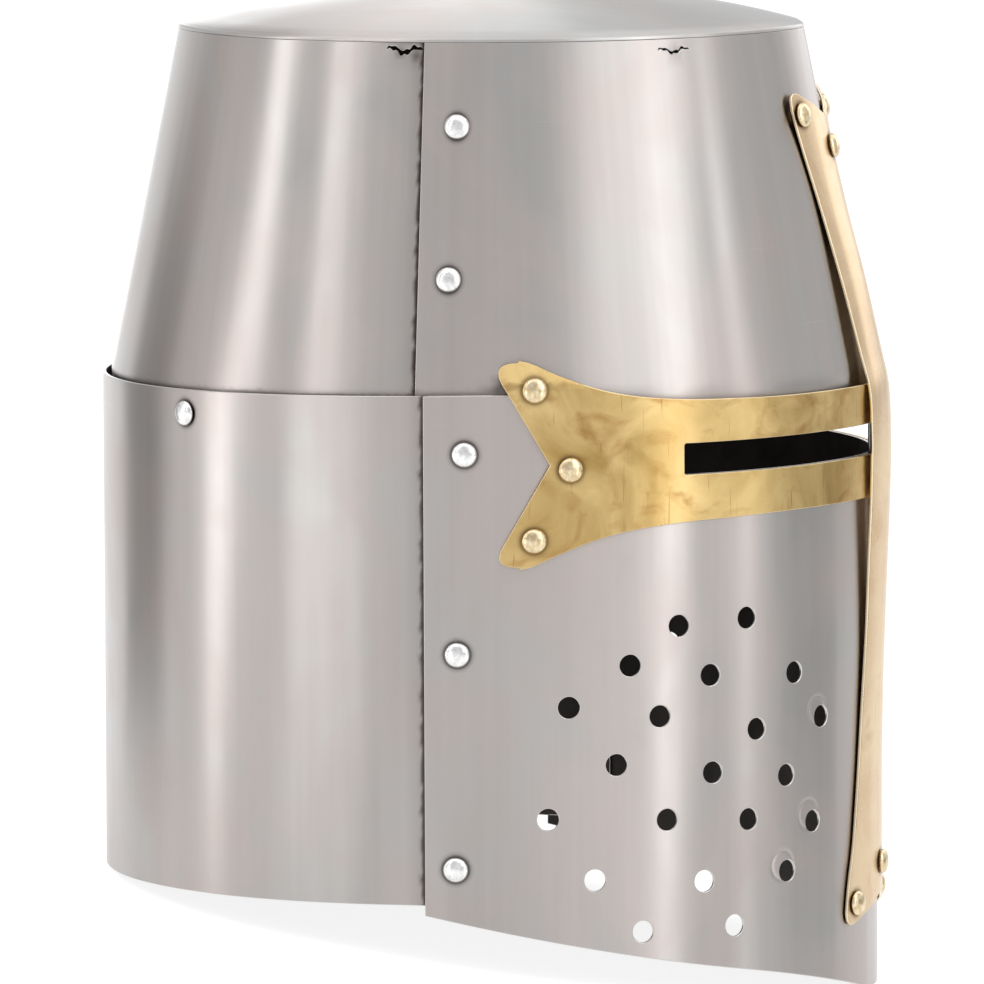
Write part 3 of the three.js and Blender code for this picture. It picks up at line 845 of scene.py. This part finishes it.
def wrapped_spots(spots):
    return [(arc if arc > 0 else arc + 2 * HALF, height) for arc, height in spots]


def rings_round(spots, radii=(3.6, 4.1, 4.6, 5.2, 6.2)):
    turns = np.arange(24) * 2 * math.pi / 24
    ring = np.stack([np.cos(turns), np.sin(turns)], axis=1)
    return [tuple(ring[k] * radius + spot) for spot in spots for radius in radii for k in range(24)]


def hammer_points():
    points = []
    for mark in HAMMER_MARKS:
        radii = [mark["radius"] + step for step in (-1.6, -0.9, -0.4, 0, 0.4, 0.9, 1.6)]
        points += rings_round([(mark["arc"], mark["height"])], radii)
    return points


def columns(arcs, low, high):
    """Extra points beside a seam, so that its stain and painted shade are drawn finely."""
    heights = np.arange(low + 1, high, 2.5)
    return [(arc, height) for arc in arcs for height in heights]


def beside(arc):
    steps = (0.15, 0.5, 0.9, 1.3, 1.8, 2.5, 3.6, 5.5)
    return [arc + step for step in steps] + [2 * HALF - arc - step for step in steps]


def above_seam(low, high):
    steps = (0.1, 0.6, 1.2, 2.0, 3.5)
    arcs = np.arange(low, high, 3.0)
    return [(arc, SEAM_SLOPE * float(forward_of(arc)[0]) + up) for arc in arcs for up in steps]


# Darkening in round spots by the openings under the rim and at the upper front plate's foot
def dark_spots(flat, plate):
    dark = np.zeros(len(flat))
    for row in DARK_SPOTS:
        if row["plate"] == plate:
            away = np.hypot(flat[:, 0] - row["arc"], flat[:, 1] - row["height"])
            dark = np.maximum(dark, row["depth"] * np.exp(-((away / row["size"]) ** 2)))
    return dark


def ring_shade(flat, spots, depth=0.85, wide=0.85):
    """A dark ring of painted shade just past each rivet head."""
    dark = np.zeros(len(flat))
    for arc, height in spots:
        away = np.hypot(flat[:, 0] - arc, flat[:, 1] - height) - RIVET["head"] - 0.1
        dark = np.maximum(dark, depth * np.exp(-((away / wide) ** 2)))
    return dark


def seam_shade(flat, arc, depth, width):
    """A ragged dark line just behind a front plate's rear edge, partly stain and partly painted shade, with a
    faint darkening beyond.
    """
    beyond = np.minimum(np.abs(flat[:, 0] - arc), np.abs(2 * HALF - flat[:, 0] - arc))
    ragged = 1 + 0.35 * np.sin(flat[:, 1] * 0.31) * np.sin(flat[:, 1] * 0.83 + 1)
    line = depth * np.exp(-((beyond / (width * ragged)) ** 4))
    return np.maximum(line, 0.22 * np.exp(-((beyond / 4.5) ** 2)))


def foot_shade(flat, depth=0.55):
    """A line of painted shade where an upper plate goes down behind the lower plates."""
    up = flat[:, 1] - SEAM_SLOPE * forward_of(flat[:, 0])
    return depth * np.exp(-((np.maximum(up, 0) / 1.0) ** 2))


def cracks_in(plate):
    return [crack_loop(row) for row in CRACKS if row["plate"] == plate]


# Plates
# The painted shade at the upper front plate's foot starts this far round, behind the sight band's horns
FOOT_SHADE_START = 150.0


def lower_front_plate():
    breaks = [s * (HIDDEN_EDGE["until"] + d) for s in (-1, 1) for d in (0, 0.05)]
    outline = outline_between(skirt_edge, front_top_edge, -FRONT_END["lower"], FRONT_END["lower"], breaks)
    breath = []
    for row in BREATH_HOLES:
        shifted = row["height"] > LEFT_SHIFT["above"]
        left = (-row["arc"] - LEFT_SHIFT["arc"] * shifted, row["height"] + LEFT_SHIFT["height"] * shifted)
        for arc, height in ((row["arc"], row["height"]), left):
            breath.append(ellipse(arc, height, BREATH_HOLE, BREATH_HOLE))
    spots = rivet_spots(("lower_seam", "band", "band_top", "bar_low"), INSETS["lower_front"])
    shown = rivet_spots(("lower_seam",), INSETS["lower_front"])
    holes = breath + pin_holes(spots) + [slot_loop(-1), slot_loop(1)]
    extra = rings_round(shown) + hammer_points()

    def shade(flat):
        return ring_shade(flat, shown)

    piece = sheet_piece("lower_front_shell", densify(outline, 3), holes, sheet_lift(INSETS["lower_front"]),
                        steel, lining, extra=extra, shade=shade)
    settle(piece, "lower_front_plate")


def lower_back_plate():
    outline = outline_between(lambda arcs: BACK_EDGE, lambda arcs: SEAM_SLOPE * forward_of(arcs), BACK_START,
                              2 * HALF - BACK_START)
    spots = wrapped_spots(rivet_spots(("lower_seam", "back_seam"), INSETS["lower_back"]))
    shown = wrapped_spots(rivet_spots(("back_seam",), INSETS["lower_back"]))
    extra = rings_round(shown) + columns(beside(FRONT_END["lower"]), BACK_EDGE, 0)

    def shade(flat):
        seam = seam_shade(flat, FRONT_END["lower"], depth=0.92, width=1.5)
        return np.maximum(ring_shade(flat, shown), seam)

    piece = sheet_piece("lower_back_shell", densify(outline, 3), pin_holes(spots),
                        sheet_lift(INSETS["lower_back"]), steel, lining, extra=extra, shade=shade)
    settle(piece, "lower_back_plate")


def upper_front_plate():
    outline = outline_between(lambda arcs: -FLANGE, lambda arcs: RIM, -FRONT_END["upper"], FRONT_END["upper"])
    spots = rivet_spots(("upper_seam", "band_top", "bar_top"), INSETS["upper_front"])
    shown = rivet_spots(("upper_seam",), INSETS["upper_front"])
    near, far = HIDDEN_EDGE["until"], FRONT_END["upper"] - 0.5
    extra = rings_round(shown) + above_seam(near, far) + above_seam(-far, -near)

    def shade(flat):
        rear = np.where(np.abs(flat[:, 0]) > FOOT_SHADE_START, foot_shade(flat), 0)
        return np.maximum(np.maximum(ring_shade(flat, shown), dark_spots(flat, "upper_front")), rear)

    piece = sheet_piece("upper_front_shell", densify(outline, 3), pin_holes(spots) + cracks_in("front"),
                        sheet_lift(INSETS["upper_front"]), steel, lining, extra=extra, shade=shade)
    settle(piece, "upper_front_plate")


def upper_back_plate():
    outline = outline_between(lambda arcs: -FLANGE, lambda arcs: RIM, BACK_START, 2 * HALF - BACK_START)
    spots = wrapped_spots(rivet_spots(("upper_seam", "back_seam"), INSETS["upper_back"]))
    near = FRONT_END["upper"] + 0.5
    extra = columns(beside(FRONT_END["upper"]), 0, RIM) + above_seam(near, 2 * HALF - near)

    def shade(flat):
        seam = seam_shade(flat, FRONT_END["upper"], depth=0.97, width=1.6)
        return np.maximum(np.maximum(seam, foot_shade(flat, depth=0.45)), dark_spots(flat, "upper_back"))

    piece = sheet_piece("upper_back_shell", densify(outline, 3), pin_holes(spots) + cracks_in("back"),
                        sheet_lift(INSETS["upper_back"]), steel, lining, extra=extra, shade=shade)
    settle(piece, "upper_back_plate")


def crown_of(share):
    """How high the dome's inner face stands over the rim, at a share of the way out."""
    return DOME["rise"] * (1 - share ** DOME["power"])


def top_rings():
    """The rings of the outer face and of the inner face: share of the way out, inward and up."""
    first, foot = 0.06, 0.05 - GAP
    outer = [(share, 0.0, crown_of(share) + SHEET) for share in np.linspace(first, 0.985, 16)]
    for turn in np.radians(np.linspace(10, 90, 6)):
        outer.append((1.0, SHEET * (1 - math.sin(turn)), SHEET * math.cos(turn)))
    outer.append((1.0, 0.0, foot))
    inner = [(1.0, SHEET, foot), (1.0, SHEET + 0.6, 0.0)]
    inner += [(share, 0.0, crown_of(share)) for share in np.linspace(0.975, first, 12)]
    return outer, inner


def top_plate():
    segments = DOME["segments"]
    arcs = (np.arange(segments) / segments * 2 - 1) * HALF
    back_share = ramp(np.abs(arcs), FRONT_END["upper"], FRONT_END["upper"] + DOME["back_blend"])
    edge_inset = inset_upper_front(arcs, RIM) + LAYER * back_share
    middle = -(FRONT_REACH + float(forward_of(HALF)[0])) / 2
    outer, inner = top_rings()
    places = []
    for share, inward, up in outer + inner:
        edge = place(arcs, edge_inset + inward, RIM + GAP)
        side, forward = edge[:, 0] * share, middle + (edge[:, 1] - middle) * share
        places.append(np.stack([side, forward, edge[:, 2] + up], axis=1))
    height = RIM + GAP + DOME["rise"]
    places = np.concatenate(places + [[[0, middle, height + SHEET], [0, middle, height]]])
    top, bottom = len(places) - 2, len(places) - 1
    last = top - segments
    polygons, kinds = [], []
    for k in range(segments):
        n = (k + 1) % segments
        for j in range(len(outer) + len(inner) - 1):
            a, b = j * segments, (j + 1) * segments
            polygons.append((a + k, a + n, b + n, b + k))
            kinds.append(0 if j < len(outer) else 1)
        polygons += [(top, n, k), (bottom, last + k, last + n)]
        kinds += [0, 1]
    plain = {"edge": np.zeros(len(places)), "dark": np.zeros(len(places))}
    piece = build_object("top_shell", to_row(places), polygons, kinds, None, places[:, :2] / 1000, plain,
                         [top_steel, lining])
    settle(piece, "top_plate")


def brass_piece(node, kinds, outline, slots, lift, material):
    spots = rivet_spots(kinds, None)

    def shade(flat):
        return ring_shade(flat, spots, 0.75)

    piece = sheet_piece(node + "_shell", densify(outline, 2.5), pin_holes(spots) + slots, lift, material,
                        material, step=3.5, extra=rings_round(spots), shade=shade)
    settle(piece, node)


def sight_band():
    slots = [slot_loop(-1), slot_loop(1)]
    lift = sheet_lift(INSETS["band"])
    brass_piece("sight_band", ("band", "band_top"), band_outline(), slots, lift, brass)


def face_bar():
    brass_piece("face_bar", ("bar_top", "bar_low"), bar_outline(), [], bar_lift, bar_brass)


lower_front_plate()
lower_back_plate()
upper_front_plate()
upper_back_plate()
top_plate()
sight_band()
face_bar()


# Floor, light and camera
# Metres, and degrees from the way that the face looks, towards the wearer's right
SKY = (0.78, 0.78, 0.79)
FLOOR = {"reach": 30.0, "shade": 0.27, "glow": 0.88}
STRIPS = [
    {"name": "high_side", "turn": 32.6, "away": 0.6, "wide": 0.14, "foot": 0.28, "tall": 0.9, "glow": 2.0},
    {"name": "shoulder", "turn": 48, "away": 0.61, "wide": 0.24, "foot": 0.28, "tall": 0.9, "glow": 0.95},
    {"name": "high_front", "turn": 14, "away": 0.59, "wide": 0.06, "foot": 0.28, "tall": 0.9, "glow": 1.9},
    {"name": "high_back", "turn": 149, "away": 0.61, "wide": 0.1, "foot": 0.22, "tall": 0.9, "glow": 1.9},
    {"name": "back_side", "turn": 124, "away": 0.6, "wide": 0.06, "foot": 0.22, "tall": 0.9, "glow": 2.1},
    {"name": "low_side", "turn": 34.5, "away": 0.61, "wide": 0.06, "foot": 0, "tall": 0.28, "glow": 2.6},
    {"name": "low_front", "turn": 11.5, "away": 0.6, "wide": 0.035, "foot": 0, "tall": 0.28, "glow": 1.6},
    {"name": "low_back", "turn": 149, "away": 0.32, "wide": 0.035, "foot": 0, "tall": 0.2, "glow": 2.0},
    {"name": "low_back_side", "turn": 117, "away": 0.46, "wide": 0.16, "foot": 0, "tall": 0.15, "glow": 0.95},
    {"name": "front_far", "turn": -62, "away": 1.3, "wide": 0.8, "foot": 0.35, "tall": 1.6, "glow": 1.0},
    {"name": "far_back", "turn": -112, "away": 1.3, "wide": 0.4, "foot": 0, "tall": 1.6, "glow": 1.2},
]
CARDS = [
    {"name": "front_card", "turn": -13, "away": 0.7, "wide": 0.34, "foot": 0.22, "tall": 0.8, "glow": 0.9},
    {"name": "low_front_card", "turn": -13, "away": 0.7, "wide": 0.34, "foot": 0, "tall": 0.22, "glow": 0.5},
    {"name": "back_card", "turn": 190.7, "away": 0.59, "wide": 0.3, "foot": 0, "tall": 0.9, "glow": 0.83},
    {"name": "low_back_card", "turn": 183, "away": 0.31, "wide": 0.13, "foot": 0, "tall": 0.22, "glow": 0.46},
]
OVERHEAD = {"wide": 6.0, "up": 4.0, "glow": 0.75}
# Degrees, and millimetres on the upright helm
CAMERA = {
    "toward_face": 10.5,
    "above": 6.2,
    "roll": 0.24,
    "aim_height": -43.2,
    "distance": 4000,
    "focal_pixels": 12000,
    "frame_pixels": 984,
}


def studio_sheet(name, corners, shade, glow):
    """A flat matt sheet of the studio that also glows by itself."""
    mesh = bpy.data.meshes.new(name)
    mesh.from_pydata(corners, [], [(0, 1, 2, 3)])
    material = bpy.data.materials.new(name)
    material.use_nodes = True
    sockets = material.node_tree.nodes["Principled BSDF"].inputs
    sockets["Base Color"].default_value = (shade, shade, shade, 1)
    sockets["Roughness"].default_value = 0.9
    sockets["Specular IOR Level"].default_value = 0.0
    sockets["Emission Color"].default_value = (1, 1, 1, 1)
    sockets["Emission Strength"].default_value = glow
    mesh.materials.append(material)
    piece = bpy.data.objects.new(name, mesh)
    bpy.context.collection.objects.link(piece)
    return piece


def bearing(turn):
    angle = math.radians(turn)
    return Vector((-math.sin(angle), -math.cos(angle), 0))


def grey_card(name, turn, away, wide, foot, tall, glow):
    """A grey card that only shows in reflections, as a photographer stands one beside bright metal."""
    across = Vector((math.cos(math.radians(turn)), -math.sin(math.radians(turn)), 0)) * wide / 2
    base = bearing(turn) * away + Vector((0, 0, foot))
    top = base + Vector((0, 0, tall))
    piece = studio_sheet(name, [base - across, base + across, top + across, top - across], 0.0, glow)
    piece.visible_camera = piece.visible_diffuse = piece.visible_shadow = piece.visible_transmission = False


def area_light(name, wide, tall, glow):
    lamp = bpy.data.lights.new(name, "AREA")
    lamp.shape = "RECTANGLE"
    lamp.size, lamp.size_y = wide, tall
    lamp.energy = glow * math.pi * wide * tall
    piece = bpy.data.objects.new(name, lamp)
    piece.visible_camera = False
    bpy.context.collection.objects.link(piece)
    return piece


def strip_light(name, turn, away, wide, foot, tall, glow):
    """A soft upright panel that faces the helm."""
    piece = area_light(name, wide, tall, glow)
    piece.location = bearing(turn) * away + Vector((0, 0, foot + tall / 2))
    piece.rotation_euler = bearing(turn).to_track_quat("Z", "Y").to_euler()


def world():
    backdrop = bpy.data.worlds.new("studio")
    bpy.context.scene.world = backdrop
    backdrop.use_nodes = True
    sky = backdrop.node_tree.nodes["Background"]
    sky.inputs["Color"].default_value = (*SKY, 1)
    sky.inputs["Strength"].default_value = 1.0


def camera():
    """At the photo's angle to the helm: forward of square to its side, and a little above its own level."""
    toward_face, above, roll = (math.radians(CAMERA[key]) for key in ("toward_face", "above", "roll"))
    level = math.cos(above)
    back = np.array([-math.cos(toward_face) * level, -math.sin(toward_face) * level, math.sin(above)])
    right = np.array([math.sin(toward_face), -math.cos(toward_face), 0.0])
    up = np.cross(back, right)
    rolled_right = right * math.cos(roll) - up * math.sin(roll)
    rolled_up = right * math.sin(roll) + up * math.cos(roll)
    axes = TURN @ np.stack([rolled_right, rolled_up, back], axis=1)
    target = np.array([0.0, 0.0, CAMERA["aim_height"]])
    spot = to_row((target + back * CAMERA["distance"])[None])[0]
    lens = bpy.data.cameras.new("camera")
    lens.sensor_width = 36
    lens.lens = 36 * CAMERA["focal_pixels"] / CAMERA["frame_pixels"]
    lens.clip_end = 200
    piece = bpy.data.objects.new("camera", lens)
    piece.matrix_world = Matrix.Translation(Vector(spot)) @ Matrix(axes.tolist()).to_4x4()
    bpy.context.collection.objects.link(piece)
    bpy.context.scene.camera = piece


reach = FLOOR["reach"]
corners = [(-reach, -reach, 0), (reach, -reach, 0), (reach, reach, 0), (-reach, reach, 0)]
studio_sheet("floor", corners, FLOOR["shade"], FLOOR["glow"])
for strip in STRIPS:
    strip_light(**strip)
for card in CARDS:
    grey_card(**card)
area_light("overhead", OVERHEAD["wide"], OVERHEAD["wide"], OVERHEAD["glow"]).location = (0, 0, OVERHEAD["up"])
world()
camera()
bpy.context.scene.view_settings.view_transform = "Standard"
